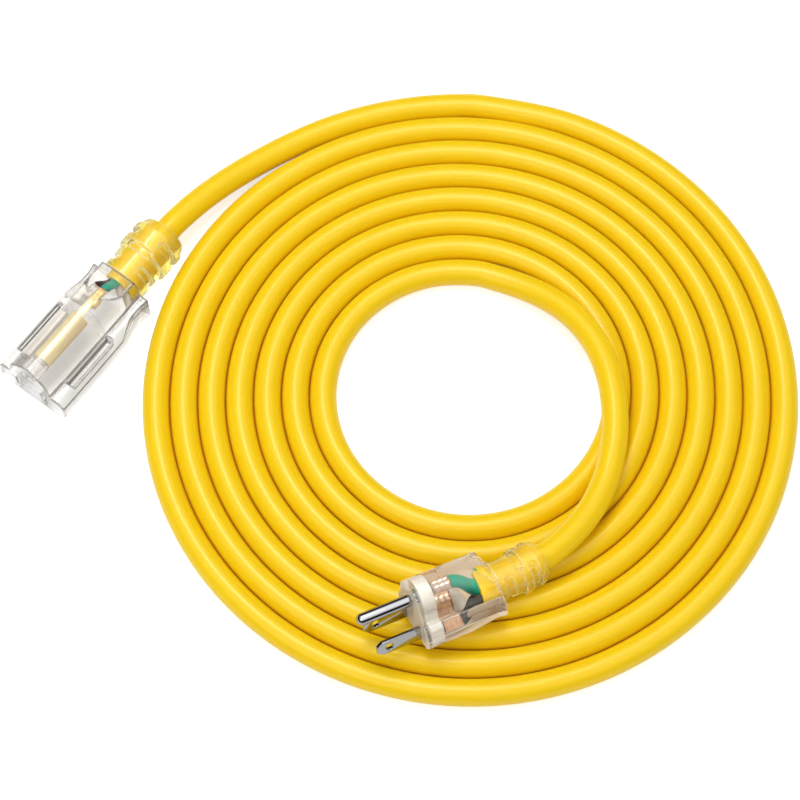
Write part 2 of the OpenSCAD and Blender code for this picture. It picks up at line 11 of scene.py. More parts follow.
import bmesh
import bpy
import numpy as np
from mathutils import Matrix, Vector
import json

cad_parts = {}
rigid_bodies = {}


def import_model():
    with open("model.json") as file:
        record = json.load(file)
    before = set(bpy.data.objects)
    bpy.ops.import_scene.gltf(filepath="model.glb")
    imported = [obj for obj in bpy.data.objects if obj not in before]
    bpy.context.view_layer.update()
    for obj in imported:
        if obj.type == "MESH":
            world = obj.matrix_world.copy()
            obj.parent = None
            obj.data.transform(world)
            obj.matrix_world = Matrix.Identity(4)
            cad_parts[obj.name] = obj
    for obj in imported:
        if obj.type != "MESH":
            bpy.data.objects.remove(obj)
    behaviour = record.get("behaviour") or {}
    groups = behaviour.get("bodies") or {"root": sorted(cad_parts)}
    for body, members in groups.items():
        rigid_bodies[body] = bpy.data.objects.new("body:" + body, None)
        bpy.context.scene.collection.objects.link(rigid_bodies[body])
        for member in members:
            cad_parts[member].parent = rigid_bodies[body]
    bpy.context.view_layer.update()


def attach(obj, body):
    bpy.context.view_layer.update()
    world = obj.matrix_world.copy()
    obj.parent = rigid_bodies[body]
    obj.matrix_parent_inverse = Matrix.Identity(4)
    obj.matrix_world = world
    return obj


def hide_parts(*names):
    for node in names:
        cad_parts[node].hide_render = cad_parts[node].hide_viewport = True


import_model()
ROOT = "root"
MM = 0.001

# %% [markdown]
# ## Sizes
#
# The CAD model is in millimetres, and Blender in metres. All pieces are built in
# millimetres, in the frame of the coil, the plug or the connector, and then
# brought to their place. In the plug and the connector, +X comes out of the face,
# +Z points to the ground pin, and z = 0 is the line of the two blades.

# %% Sizes of the cord and the places of its ends
CORD_D = 10.5
CORD_R = CORD_D / 2
COIL_AT = Vector((25.8, -3.0, 0.0))
COIL_INNER_R = 52.35
COIL_PITCH = 11.0
COIL_FROM = 85.0
COIL_STEP = 15.0
COIL_TURNS = 7
COIL_OUTER_R = COIL_INNER_R + COIL_TURNS * COIL_PITCH


def round_coil(point, from_r):
    """A point given as an angle, a distance out from a radius, and a height."""
    angle, out, height = point
    at = math.radians(angle)
    return Vector(((from_r + out) * math.cos(at), (from_r + out) * math.sin(at), height))


PLUG_REAR = round_coil((-83.7, 34.7, 21.4), COIL_INNER_R)
PLUG_TURN, PLUG_LIFT, PLUG_ROLL = 204.7, 4.5, 22.7
PLUG_BODY_L, PLUG_RELIEF_L, PLUG_AXIS = 33.0, 21.0, 2.7
PLUG_RELIEF_D = 18.0

CONN_EXIT = round_coil((151.0, 7.8, 11.5), COIL_OUTER_R)
CONN_TURN = 233.3
CONN_BODY_L, CONN_RELIEF_L, CONN_AXIS = 56.5, 27.5, 4.5
CONN_RELIEF_D = 22.6


def turn(degrees, axis):
    return Matrix.Rotation(math.radians(degrees), 4, axis)


PLUG_PLACE = (
    Matrix.Translation(COIL_AT + PLUG_REAR)
    @ (turn(PLUG_TURN, "Z") @ turn(-PLUG_LIFT, "Y") @ turn(PLUG_ROLL, "X"))
    @ Matrix.Translation((PLUG_BODY_L, 0, -PLUG_AXIS))
)
CONN_PLACE = (
    Matrix.Translation(COIL_AT + CONN_EXIT)
    @ turn(CONN_TURN, "Z")
    @ Matrix.Translation((CONN_BODY_L + CONN_RELIEF_L, 0, -CONN_AXIS))
)
CONN_DIR = (turn(CONN_TURN, "Z") @ Vector((1, 0, 0))).normalized()
print("coil radii in mm:", COIL_INNER_R, "to", COIL_OUTER_R)

# %% [markdown]
# The plug's strain relief is soft, and the cord pulls it round by ten degrees. It
# curves level with the floor up to its lip, and the lip is straight again.

# %% The bend of the plug's strain relief
PLUG_BEND = math.radians(10)
RELIEF_LIP = 0.16
BENT_L = PLUG_RELIEF_L * (1 - RELIEF_LIP)
BEND_R = BENT_L / PLUG_BEND


def bent(point):
    """Bends a point of a straight relief, which starts at the origin and runs along -X."""
    x, y, z = turn(PLUG_ROLL, "X") @ Vector(point)
    along = min(max(-x, 0.0), BENT_L)
    angle = along / BEND_R
    u, v = x + along, y + BEND_R
    level = Vector((u * math.cos(angle) - v * math.sin(angle),
                    u * math.sin(angle) + v * math.cos(angle) - BEND_R, z))
    return turn(-PLUG_ROLL, "X") @ level


def relief_point(s):
    """A point on the axis of the bent relief, in the plug's frame."""
    return bent((-s, 0, 0)) + Vector((-PLUG_BODY_L, 0, PLUG_AXIS))


PLUG_EXIT = PLUG_PLACE @ relief_point(PLUG_RELIEF_L) - COIL_AT
PLUG_END_DIR = (PLUG_PLACE @ relief_point(BENT_L) - COIL_AT - PLUG_EXIT).normalized()
print("cord meets the plug at", [round(x, 2) for x in PLUG_EXIT])

# %% [markdown]
# ## The camera
#
# A long lens from about a metre away keeps the coil nearly as round as it is. It
# looks down at 66 degrees, square to the long side of the object.

# %% Camera
CAMERA_LENS = 112.05
CAMERA_DISTANCE = 987.2
CAMERA_ELEVATION = math.radians(65.99)
CAMERA_TARGET = COIL_AT + Vector((-25.0, -1.62, 0.0))

camera_data = bpy.data.cameras.new("camera")
camera_data.lens = CAMERA_LENS
camera_data.sensor_width = 36.0
camera_data.clip_start = 0.05
camera_data.clip_end = 20.0
camera = bpy.data.objects.new("camera", camera_data)
bpy.context.scene.collection.objects.link(camera)
back = Vector((0, -math.cos(CAMERA_ELEVATION), math.sin(CAMERA_ELEVATION)))
camera.location = (CAMERA_TARGET + CAMERA_DISTANCE * back) * MM
camera.rotation_euler = (math.pi / 2 - CAMERA_ELEVATION, 0, 0)
bpy.context.scene.camera = camera
print("camera at", [round(x, 3) for x in camera.location])

# %% [markdown]
# ## Small helpers
#
# A mesh is made from points and faces, put in its place, and set to ride on the
# CAD body. Each helper does one of these steps.


# %% Helpers for meshes
def new_object(name, data):
    made = bpy.data.objects.new(name, data)
    bpy.context.scene.collection.objects.link(made)
    return made


def mesh_object(name, points, faces):
    mesh = bpy.data.meshes.new(name)
    mesh.from_pydata([tuple(p) for p in points], [], faces)
    mesh.update()
    return new_object(name, mesh)


def drop(*objects):
    for o in objects:
        data = o.data
        bpy.data.objects.remove(o)
        if data.users == 0:
            bpy.data.batch_remove([data])


def baked(source, name):
    """A plain mesh of what source and its modifiers show, in place of source."""
    depsgraph = bpy.context.evaluated_depsgraph_get()
    depsgraph.update()
    mesh = bpy.data.meshes.new_from_object(source.evaluated_get(depsgraph))
    drop(source)
    mesh.name = name
    return new_object(name, mesh)


def smooth(o):
    o.data.shade_smooth()
    return o


def put(o, place):
    """Moves the mesh itself from its own millimetres to its place in metres."""
    o.data.transform(Matrix.Scale(MM, 4) @ place)
    o.data.update()
    return o


def finish_piece(o, slot, *nodes):
    """Lets a piece ride on the CAD body, in place of the CAD nodes that it dresses."""
    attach(o, ROOT)
    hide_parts(*nodes)
    print(o.name, "for", *nodes, "-", len(o.data.polygons), "faces")
    return o


# %% [markdown]
# ## The cord's route
#
# A cord settles into smooth curves, so its route is one line from the connector
# to the plug. The coil's turns are a spiral, which a loop works out. The two
# leads follow listed points. A smooth curve is laid through all the
# points, and the leads are relaxed a little, as stiff vinyl does.

# %% Points of the two leads: angle, distance out from the coil's end, height
PLUG_ROUTE = [
    (76, -0.4, 5.3), (63.6, -0.6, 6.2), (52, -0.3, 8.6), (39.3, 0.6, 11),
    (27.5, 1.8, 13), (16.2, 3.3, 14.5), (5, 4.9, 15.5), (-5.9, 6.5, 15.9),
    (-15.8, 8.9, 15.9), (-24.4, 11.6, 15.8), (-32.5, 14.4, 15.9), (-40.2, 17.4, 16.1),
    (-47.4, 20.4, 16.7), (-54.2, 22.9, 17.6),
]
CONN_ROUTE = [
    (92.7, 0.6, 5.3), (100.6, 0.7, 5.3), (106.5, 0.9, 5.3), (112, 1.3, 5.3),
    (117.7, 1.7, 5.3), (123.5, 2.1, 5.5), (129.2, 2.8, 6.4), (134.8, 3.8, 8),
    (140.3, 5, 9.8),
]
coil_angles = [i * COIL_STEP for i in range(round(360 * COIL_TURNS / COIL_STEP) + 1)]
plug_lead = [round_coil(p, COIL_INNER_R) for p in PLUG_ROUTE]
conn_lead = [round_coil(p, COIL_OUTER_R) for p in CONN_ROUTE]
coil_line = [round_coil((COIL_FROM + a, COIL_PITCH * a / 360, CORD_R), COIL_INNER_R)
             for a in coil_angles]
print("points:", len(conn_lead), len(coil_line), len(plug_lead))


# %% A smooth line through the points
def through(points, step):
    """A Catmull-Rom curve through the points, cut into steps of nearly equal length."""
    points = [2 * points[0] - points[1], *points, 2 * points[-1] - points[-2]]
    line = []
    for a, b, c, d in zip(points, points[1:], points[2:], points[3:]):
        cuts = max(1, round((c - b).length / step))
        for k in range(cuts):
            t = k / cuts
            line.append(0.5 * (2 * b + (c - a) * t + (2 * a - 5 * b + 4 * c - d) * t**2
                               + (3 * b - a - 3 * c + d) * t**3))
    return line + [points[-2]]


def relaxed(line, free, rounds):
    """Moves each free point towards the middle of its neighbours, rounds times."""
    line = np.array(line)
    free = np.array(free)[1:-1, None]
    for _ in range(rounds):
        middle = (line[:-2] + 2 * line[1:-1] + line[2:]) / 4
        line[1:-1] = np.where(free, middle, line[1:-1])
    return [Vector(p) for p in line]


ROUTE_STEP = 2.5
RELAX_ROUNDS = 24
STRAIGHT_L = 0.6 * CORD_D
FLAT_WITHIN = 0.02
route = [
    CONN_EXIT, CONN_EXIT - CORD_D * CONN_DIR, *reversed(conn_lead), *reversed(coil_line),
    *plug_lead, PLUG_EXIT - CORD_D * PLUG_END_DIR, PLUG_EXIT,
]
cord_line = through(route, ROUTE_STEP)


def is_lead(p):
    """True off the coil, where the cord may relax, but not in its last straight bit."""
    near_end = min((p - CONN_EXIT).length, (p - PLUG_EXIT).length) < STRAIGHT_L
    in_coil = abs(p.z - CORD_R) < FLAT_WITHIN
    return not near_end and not in_coil


cord_line = relaxed(cord_line, [is_lead(p) for p in cord_line], RELAX_ROUNDS)
cord_line = [(p + COIL_AT) * MM for p in cord_line]
cord_length = sum((b - a).length for a, b in zip(cord_line, cord_line[1:]))
print("cord:", len(cord_line), "points,", round(cord_length, 3), "m")

# %% [markdown]
# ## The jacket as a node tree
#
# The jacket is the same round section everywhere, so Geometry Nodes sweep a
# circle along the route. The tree has named inputs for the radius, the spacing of
# the rings and the number of sides, and its result is baked to a plain mesh.


# %% A node tree that sweeps a round section along a curve
def feed(node, socket, value):
    """Gives a node's input a fixed value, or links an output to it."""
    if isinstance(value, bpy.types.NodeSocket):
        node.id_data.links.new(value, node.inputs[socket])
    else:
        node.inputs[socket].default_value = value


def node_in(owner, kind, inputs=None, **settings):
    """A node in a tree, or in the tree of a material or of the world."""
    made = getattr(owner, "node_tree", owner).nodes.new(kind)
    for key, value in settings.items():
        setattr(made, key, value)
    for socket, value in (inputs or {}).items():
        feed(made, socket, value)
    return made


def sweep_tree():
    tree = bpy.data.node_groups.new("round_section_along_path", "GeometryNodeTree")
    tree.is_modifier = True
    for label, kind in (("Geometry", "Geometry"), ("Radius", "Float"),
                        ("Ring spacing", "Float"), ("Sides", "Int"), ("Material", "Material")):
        tree.interface.new_socket(label, in_out="INPUT", socket_type=f"NodeSocket{kind}")
    tree.interface.new_socket("Geometry", in_out="OUTPUT", socket_type="NodeSocketGeometry")
    given = node_in(tree, "NodeGroupInput").outputs
    even = node_in(tree, "GeometryNodeResampleCurve", {
        "Curve": given["Geometry"], "Length": given["Ring spacing"]}, mode="LENGTH")
    circle = node_in(tree, "GeometryNodeCurvePrimitiveCircle", {
        "Resolution": given["Sides"], "Radius": given["Radius"]})
    tube = node_in(tree, "GeometryNodeCurveToMesh", {
        "Curve": even.outputs["Curve"], "Profile Curve": circle.outputs["Curve"],
        "Fill Caps": True})
    real = node_in(tree, "GeometryNodeRealizeInstances", {"Geometry": tube.outputs["Mesh"]})
    coated = node_in(tree, "GeometryNodeSetMaterial", {
        "Geometry": real.outputs["Geometry"], "Material": given["Material"]})
    node_in(tree, "NodeGroupOutput", {"Geometry": coated.outputs["Geometry"]})
    return tree


SWEEP = sweep_tree()
print("sweep tree:", len(SWEEP.nodes), "nodes")


# %% Tubes along lines
def path_curve(name, lines):
    curve = bpy.data.curves.new(name, "CURVE")
    curve.dimensions = "3D"
    for line in lines:
        spline = curve.splines.new("POLY")
        spline.points.add(len(line) - 1)
        for point, at in zip(spline.points, line):
            point.co = (*at, 1)
    return new_object(name, curve)


def swept(name, lines, radius, spacing, sides, material):
    """Round tubes along the lines, as one mesh; radius and spacing in millimetres."""
    path = path_curve(name + "_path", lines)
    modifier = path.modifiers.new("sweep", "NODES")
    modifier.node_group = SWEEP
    values = {"Radius": radius * MM, "Ring spacing": spacing * MM, "Sides": sides,
              "Material": material}
    for item in SWEEP.interface.items_tree:
        if item.name in values:
            modifier[item.identifier] = values[item.name]
    return smooth(baked(path, name))


# %% [markdown]
# ## Finishes
#
# Every finish starts from one Principled shader. What is the same all over a piece
# is set on the shader itself. What varies comes from a noise that stays on the
# piece, or from the sharp edges, which a cell further down stores in its mesh.

# %% Helpers for materials
def new_material(name, values):
    """A material with a Principled shader, whose named inputs take the values."""
    material = bpy.data.materials.new(name)
    material.use_nodes = True
    material.node_tree.nodes.clear()
    shader = node_in(material, "ShaderNodeBsdfPrincipled", values)
    out = node_in(material, "ShaderNodeOutputMaterial", {"Surface": shader.outputs["BSDF"]})
    return material, shader, out


def noise_on(material, scale, detail, squeeze=None):
    """A noise that stays on the piece, squeezed along its axes if asked."""
    at = node_in(material, "ShaderNodeTexCoord").outputs["Object"]
    if squeeze:
        at = node_in(material, "ShaderNodeMapping",
                     {"Vector": at, "Scale": squeeze}).outputs["Vector"]
    return node_in(material, "ShaderNodeTexNoise",
                   {"Vector": at, "Scale": scale, "Detail": detail}).outputs["Fac"]


def edge_of(material):
    """How much a place is an edge, from 0 to 1, as mark_edges stores it."""
    return node_in(material, "ShaderNodeAttribute", attribute_name="edge").outputs["Fac"]


def mixed(owner, factor, a, b, kind="FLOAT"):
    return node_in(owner, "ShaderNodeMix", {"Factor": factor, "A": a, "B": b},
                   data_type=kind).outputs["Result"]


def two_tone(material, factor, low, high):
    return mixed(material, factor, (*low, 1), (*high, 1), "RGBA")


def ranged(owner, factor, low, high, start=0.0, stop=1.0, kind="LINEAR"):
    """Runs from low to high while the factor runs from start to stop."""
    return node_in(owner, "ShaderNodeMapRange", {
        "Value": factor, "From Min": start, "From Max": stop, "To Min": low, "To Max": high,
    }, interpolation_type=kind).outputs["Result"]


def bumps(material, height, strength, distance):
    return node_in(material, "ShaderNodeBump", {
        "Height": height, "Strength": strength, "Distance": distance}).outputs["Normal"]


# %% [markdown]
# ## The yellow cord
#
# The jacket is soft, warm yellow vinyl. Light goes a little way into it and comes
# out warmer, which subsurface scattering gives. A fine bump and a sheen keep its
# gloss from looking like paint.

# %% Yellow vinyl
def yellow_vinyl():
    material, shader, _ = new_material("yellow_vinyl", {
        "Roughness": 0.28,
        "Specular IOR Level": 0.42,
        "Specular Tint": (1.0, 0.95, 0.7, 1),
        "Subsurface Weight": 0.5,
        "Subsurface Radius": (1.0, 0.6, 0.03),
        "Subsurface Scale": 0.003,
        "Sheen Weight": 0.35,
        "Sheen Roughness": 0.4,
        "Sheen Tint": (1.0, 0.74, 0.06, 1),
    })
    soft = noise_on(material, 35.0, 3.0)
    feed(shader, "Base Color",
         two_tone(material, soft, (0.88, 0.59, 0.003), (0.91, 0.63, 0.007)))
    feed(shader, "Normal", bumps(material, noise_on(material, 900.0, 2.0), 0.08, 0.0002))
    return material


YELLOW = yellow_vinyl()

# %% The cord
RING_SPACING, RING_SIDES = 2.5, 32
cord = swept("cord_jacket", [cord_line], CORD_R, RING_SPACING, RING_SIDES, YELLOW)
finish_piece(cord, "yellow_jacket", "cord_coil", "plug_lead", "connector_lead")

# %% [markdown]
# ## Clear, matt and frosted plastic
#
# Clear vinyl bends light, which a transmitting shader shows. A ray from a lamp
# can't find its way through bent surfaces, so it goes straight through, slightly
# tinted. Sharp edges are hazier, as moulds leave them, and their tone is painted:
# a cream painted highlight on the plug and the relief, and a painted dark
# refraction on the connector. Sides that are matt from the mould are thin: part
# of the light comes through, the rest shows the grain.

# %% Clear vinyl
SHADOW_TINT = (0.9, 0.89, 0.87)


def clear_vinyl(name, tint, painted_edge_tone, haze, edge_haze, roughness=0.03, ior=1.47):
    material, shader, out = new_material(name, {"Roughness": roughness, "IOR": ior})
    edge = edge_of(material)
    feed(shader, "Base Color", two_tone(material, edge, tint, painted_edge_tone))
    feed(shader, "Transmission Weight", ranged(material, edge, 1 - haze, 1 - edge_haze))
    lamp_ray = node_in(material, "ShaderNodeLightPath").outputs["Is Shadow Ray"]
    open_way = node_in(material, "ShaderNodeBsdfTransparent", {"Color": (*SHADOW_TINT, 1)})
    mix = node_in(material, "ShaderNodeMixShader", {
        0: lamp_ray, 1: shader.outputs["BSDF"], 2: open_way.outputs["BSDF"]})
    feed(out, "Surface", mix.outputs["Shader"])
    return material


# Painted highlight: the plug's cream edge tone stands in for light caught on its edges.
CLEAR_PLUG = clear_vinyl("clear_plug_vinyl", (0.98, 0.94, 0.84), (0.97, 0.9, 0.78),
                         0.01, 0.6)
# Painted dark refraction: the connector's edges are drawn near black.
CLEAR_CONN = clear_vinyl("clear_connector_vinyl", (0.93, 0.9, 0.85), (0.1, 0.1, 0.1),
                         0.02, 0.6)
# Painted: the yellow tint stands in for the yellow jacket seen through the clear relief, and
# the pale edge tone is a painted highlight.
CLEAR_RELIEF = clear_vinyl("clear_relief_vinyl", (0.98, 0.89, 0.24), (0.97, 0.92, 0.66),
                           0.12, 0.6, 0.12, 1.48)


# %% Matt sides of the clear mouldings
def matt_vinyl(name, pale, deep, alpha, squeeze=(1.0, 1.0, 1.0), scale=600.0,
               edge_alpha=None):
    material, shader, _ = new_material(
        name, {"Roughness": 0.55, "Specular IOR Level": 0.2, "Alpha": alpha})
    noise = noise_on(material, scale, 3.0, squeeze)
    feed(shader, "Base Color", two_tone(material, noise, deep, pale))
    if edge_alpha:
        feed(shader, "Alpha", ranged(material, edge_of(material), alpha, edge_alpha))
    feed(shader, "Normal", bumps(material, noise, 0.15, 0.0002))
    return material


# Partly painted: the underside is matt from the mould, and its tan tone also stands in for
# shade and dark reflections seen through the clear housing.
PLUG_UNDERSIDE = matt_vinyl("plug_underside", (0.86, 0.73, 0.6), (0.76, 0.63, 0.5), 0.85)
CONN_UNDERSIDE = matt_vinyl("connector_underside", (0.88, 0.84, 0.82), (0.76, 0.72, 0.7),
                            0.22)
MATT_FACE = matt_vinyl("matt_face", (0.9, 0.8, 0.6), (0.72, 0.61, 0.42), 0.5,
                       (1.0, 1.0, 0.12), 1400.0)
CONN_FACE = matt_vinyl("connector_face", (0.88, 0.86, 0.85), (0.62, 0.6, 0.59), 0.35,
                       edge_alpha=0.8)
CARRIER = matt_vinyl("carrier_plastic", (0.86, 0.83, 0.81), (0.78, 0.75, 0.73), 0.08,
                     edge_alpha=0.45)

# %% [markdown]
# Stamped metal and drawn insulation are never quite even. One noise varies their
# tone, their gloss and their surface a little, all together.


# %% Metals, insulation and the frosted bridge
def grained(name, colour, roughness, metallic=0.0, *, spread, bump=0.05, **more):
    """A finish whose tone and gloss vary a little over the surface."""
    material, shader, _ = new_material(name, {"Metallic": metallic, **more})
    noise = noise_on(material, 400.0, 4.0)
    low, high = ([min(c * k, 1) for c in colour] for k in (1 - spread, 1 + spread))
    feed(shader, "Base Color", two_tone(material, noise, low, high))
    feed(shader, "Roughness", ranged(material, noise, roughness * 0.8, roughness * 1.2))
    feed(shader, "Normal", bumps(material, noise, bump, 0.0001))
    return material


FROSTED = grained("frosted_plastic", (0.92, 0.89, 0.86), 0.35, bump=0.03, spread=0.04,
                  **{"Subsurface Weight": 0.2, "Subsurface Scale": 0.001})
NICKEL = grained("bright_nickel", (0.35, 0.35, 0.36), 0.1, 1.0, spread=0.05, bump=0.02)
TINNED = grained("tinned_copper", (0.88, 0.74, 0.68), 0.35, 0.8, spread=0.08)
BARE_COPPER = grained("copper_barrel", (0.86, 0.6, 0.45), 0.35, 0.8, spread=0.08)
BRASS = grained("stamped_brass", (0.95, 0.78, 0.4), 0.5, 0.6, spread=0.06)
PLATED_LEAF = grained("plated_leaf", (0.84, 0.82, 0.79), 0.4, 0.6, spread=0.05)
COPPER = grained("copper_strands", (0.85, 0.46, 0.28), 0.3, 1.0, spread=0.15)
BLACK = grained("black_insulation", (0.012, 0.011, 0.011), 0.25, spread=0.2)
WHITE = grained("natural_insulation", (0.62, 0.55, 0.48), 0.35, spread=0.03)
GREEN = grained("green_insulation", (0.001, 0.42, 0.3), 0.3, spread=0.1)
print(len(bpy.data.materials), "materials")

# %% [markdown]
# ## Helpers for moulded shapes
#
# A moulded end is a few flat figures, each drawn out along one axis, joined or
# cut with each other. A voxel remesh then melts them into one closed skin with
# soft edges, as a mould leaves them.


# %% Flat figures and blocks
def arc(middle, r, first, last, steps):
    """Points on part of a circle, from the first angle to the last, in degrees."""
    angles = np.radians(np.linspace(first, last, steps + 1))
    return [(middle[0] + r * math.cos(a), middle[1] + r * math.sin(a)) for a in angles]


def soft_rect(half, low, high, r, steps=8):
    """A rectangle about u = 0 with round corners."""
    corners = [((half - r, high - r), 0), ((r - half, high - r), 90),
               ((r - half, low + r), 180), ((half - r, low + r), 270)]
    return [p for middle, first in corners for p in arc(middle, r, first, first + 90, steps)]


def arch(r, low, top, steps=32):
    return [(-r, low), (r, low), *arc((0, top - r), r, 0, 180, steps)]


def disc(r, middle=(0, 0), steps=48):
    return arc(middle, r, 0, 360, steps)[:-1]


def s_run(x0, y0, x1, y1, steps=12):
    """A level run from one height to another, in the shape of an S."""
    return [(x0 + (x1 - x0) * t, (y0 + y1) / 2 + (y0 - y1) / 2 * math.cos(math.pi * t))
            for t in np.linspace(0, 1, steps + 1)]


def quarter(x0, z0, x1, z1, steps=12):
    """A quarter of an ellipse that falls from the first point to the second."""
    return [(x0 + (x1 - x0) * math.sin(a), z1 + (z0 - z1) * math.cos(a))
            for a in np.linspace(0, math.pi / 2, steps + 1)]


def both_sides(edge):
    """A closed figure from an edge that starts and ends on the middle line."""
    return [*edge, *((x, -y) for x, y in reversed(edge[1:-1]))]


def face_out(o):
    shape = bmesh.new()
    shape.from_mesh(o.data)
    bmesh.ops.recalc_face_normals(shape, faces=shape.faces)
    shape.to_mesh(o.data)
    shape.free()
    return o


LAID_ALONG = {
    "X": lambda u, v, w: (w, u, v),
    "Y": lambda u, v, w: (u, w, v),
    "Z": lambda u, v, w: (u, v, w),
}


def block(figure, axis, low, high):
    """A flat figure drawn out along an axis, from low to high."""
    lay = LAID_ALONG[axis]
    n = len(figure)
    points = [lay(u, v, w) for w in (low, high) for u, v in figure]
    sides = [(i, (i + 1) % n, n + (i + 1) % n, n + i) for i in range(n)]
    ends = [tuple(range(n)), tuple(range(n, 2 * n))]
    return face_out(mesh_object("block", points, ends + sides))


def box(x0, x1, y0, y1, z0, z1):
    return block([(y0, z0), (y1, z0), (y1, z1), (y0, z1)], "X", x0, x1)


def lathed(profile, middle=(0, 0), sides=64):
    """Turns a profile of (x, radius) points round a line along X."""
    points, faces = [], []
    for x, r in profile:
        points += [(x, u, v) for u, v in disc(r, middle, sides)]
    for i in range(len(profile) - 1):
        for k in range(sides):
            a, b = i * sides + k, i * sides + (k + 1) % sides
            faces.append((a, b, b + sides, a + sides))
    faces += [tuple(range(sides)), tuple(range(len(points) - sides, len(points)))]
    return face_out(mesh_object("turned", points, faces))


def shaped(name, body, steps, voxel=0.0, rounds=0):
    """Joins, meets or cuts body with each tool in turn, then melts it into one skin."""
    for operation, tool in steps:
        boolean = body.modifiers.new(operation.lower(), "BOOLEAN")
        boolean.operation = operation
        boolean.object = tool
        boolean.solver = "EXACT"
    if voxel:
        skin = body.modifiers.new("skin", "REMESH")
        skin.mode = "VOXEL"
        skin.voxel_size = voxel
    if rounds:
        soften = body.modifiers.new("soften", "SMOOTH")
        soften.factor = 0.5
        soften.iterations = rounds
    made = baked(body, name)
    drop(*(tool for _, tool in steps))
    return made


def joined(name, *objects):
    """One object from several closed shells, each keeping its own materials."""
    shape = bmesh.new()
    materials = []
    for o in objects:
        o.data.update()
        first = len(shape.faces)
        shape.from_mesh(o.data)
        shape.faces.ensure_lookup_table()
        for face in shape.faces[first:]:
            face.material_index += len(materials)
        materials += list(o.data.materials)
    mesh = bpy.data.meshes.new(name)
    shape.to_mesh(mesh)
    shape.free()
    for material in materials:
        mesh.materials.append(material)
    drop(*objects)
    return new_object(name, mesh)


def dressed(o, *materials):
    o.data.materials.clear()
    for material in materials:
        o.data.materials.append(material)
    return o


# %% [markdown]
# A clear moulding shows best by its edges, where it is thicker and hazier, and
# where the finishes paint a highlight or a dark line. The next cell finds them in
# the mesh: a vertex on an edge stands proud of the mean of its neighbours. The
# result is stored as an attribute, which the finishes read.

# %% Edges and sides of a skin
EDGE_ROUNDS = 2
SHARP_ANGLE = 35


def mark_edges(o, low, high, seam=None):
    """Stores where the skin turns sharply, or has its mould's seam, as the attribute edge."""
    mesh = o.data
    n = len(mesh.vertices)
    at, out = np.empty(3 * n), np.empty(3 * n)
    mesh.vertices.foreach_get("co", at)
    mesh.vertex_normals.foreach_get("vector", out)
    at, out = at.reshape(n, 3), out.reshape(n, 3)
    pairs = np.empty(2 * len(mesh.edges), dtype=np.int32)
    mesh.edges.foreach_get("vertices", pairs)
    here = pairs.reshape(-1, 2).T.ravel()
    there = pairs.reshape(-1, 2)[:, ::-1].T.ravel()
    count = np.bincount(here, minlength=n)

    def mean(values):
        return np.bincount(here, values[there], n) / count

    middle = np.stack([mean(at[:, k]) for k in range(3)], axis=1)
    proud = np.abs(((at - middle) * out).sum(axis=1))
    edge = np.clip((proud - low) / (high - low), 0, 1)
    for _ in range(EDGE_ROUNDS):
        edge = (edge + mean(edge)) / 2
    if seam:
        # The seam is a real parting line, and it takes the painted edge tone as well.
        height, half = seam
        upright = np.abs(out[:, 2]) < 0.5
        edge[(np.abs(at[:, 2] - height) < half) & upright] = 1
    mesh.attributes.new("edge", "FLOAT", "POINT").data.foreach_set("value", edge)
    print(o.name, "edge share", round(float(edge.mean()), 3))
    return o


def sharp_smooth(o):
    """Smooth shading that still breaks at real edges."""
    smooth(o).data.set_sharp_from_angle(angle=math.radians(SHARP_ANGLE))
    return o


def paint_sides(o, sides):
    """Gives each face a material by the way it faces; a side is (axis, limit, index)."""
    for face in o.data.polygons:
        for axis, limit, index in sides:
            if face.normal.dot(axis) > limit:
                face.material_index = index
                break


# %% [markdown]
# ## The plug's clear moulding
#
# The real plug is clear vinyl moulded round the pins and wires: a flat pair of
# wings with a tall round ridge over the ground pin. Its top is polished and its
# underside and face are matt from the mould. The skin here is solid, with the
# metal and wires bedded in it, because air gaps inside clear vinyl would mirror.

# %% Plug housing
PLUG_HALF, PLUG_DROP, PLUG_TOP, PLUG_ROUND = 13.2, 5.0, 5.8, 3.4
GROUND_H = 11.9
RIDGE_R, RIDGE_TOP = 9.9, GROUND_H + 6.6
COLLAR_R, COLLAR_L = RIDGE_R - 0.5, 17
SKIN_VOXEL, SKIN_ROUNDS = 0.3, 3
FAR = 20


def plug_housing():
    rear = -PLUG_BODY_L
    wings = block(soft_rect(PLUG_HALF, -PLUG_DROP, PLUG_TOP, PLUG_ROUND), "X", rear, 0)
    side_view = block([
        (0, -PLUG_DROP), (0, PLUG_TOP), (rear, PLUG_TOP), (rear, -1.8),
        (rear + 5, -2.3), (rear + 14, -4), (rear + 22, -4.8),
    ], "Y", -FAR, FAR)
    plan = block(both_sides([
        (0, 0), (0, PLUG_HALF), *s_run(-6, PLUG_HALF - 0.3, -20, PLUG_HALF - 0.9),
        (rear + 4, PLUG_HALF - 0.9), (rear + 1, PLUG_HALF), (rear, PLUG_HALF), (rear, 0),
    ]), "Z", -FAR, FAR)
    low_end = PLUG_AXIS + RIDGE_R - 4
    ridge = block(arch(RIDGE_R, 0, RIDGE_TOP), "X", rear, 0)
    ridge_view = block([
        (rear, 0), (0, 0), (0, RIDGE_TOP),
        *quarter(rear + 12, RIDGE_TOP, rear + 1, low_end), (rear, low_end),
    ], "Y", -FAR, FAR)
    ridge = shaped("ridge", ridge, [("INTERSECT", ridge_view)])
    collar = block(disc(COLLAR_R, (0, PLUG_AXIS)), "X", rear, rear + COLLAR_L)
    return shaped("plug_housing_skin", wings, [
        ("INTERSECT", side_view), ("INTERSECT", plan), ("UNION", ridge), ("UNION", collar),
    ], SKIN_VOXEL, SKIN_ROUNDS)


# %% [markdown]
# ## Strain reliefs
#
# A strain relief is a soft sleeve with slots, so that it bends with the cord. Each
# slot is cut by a block with round ends, and a solid core stays round the cord.

# %% Strain reliefs
SLOT_W, SPINE_HALF = 3.0, 4.3
SIDE_SLOTS_AT, MIDDLE_SLOT_AT = (0.22, 0.7), 0.48
RELIEF_CORE, RELIEF_ROUNDS = 0.78, 4
END_GAP = 0.05


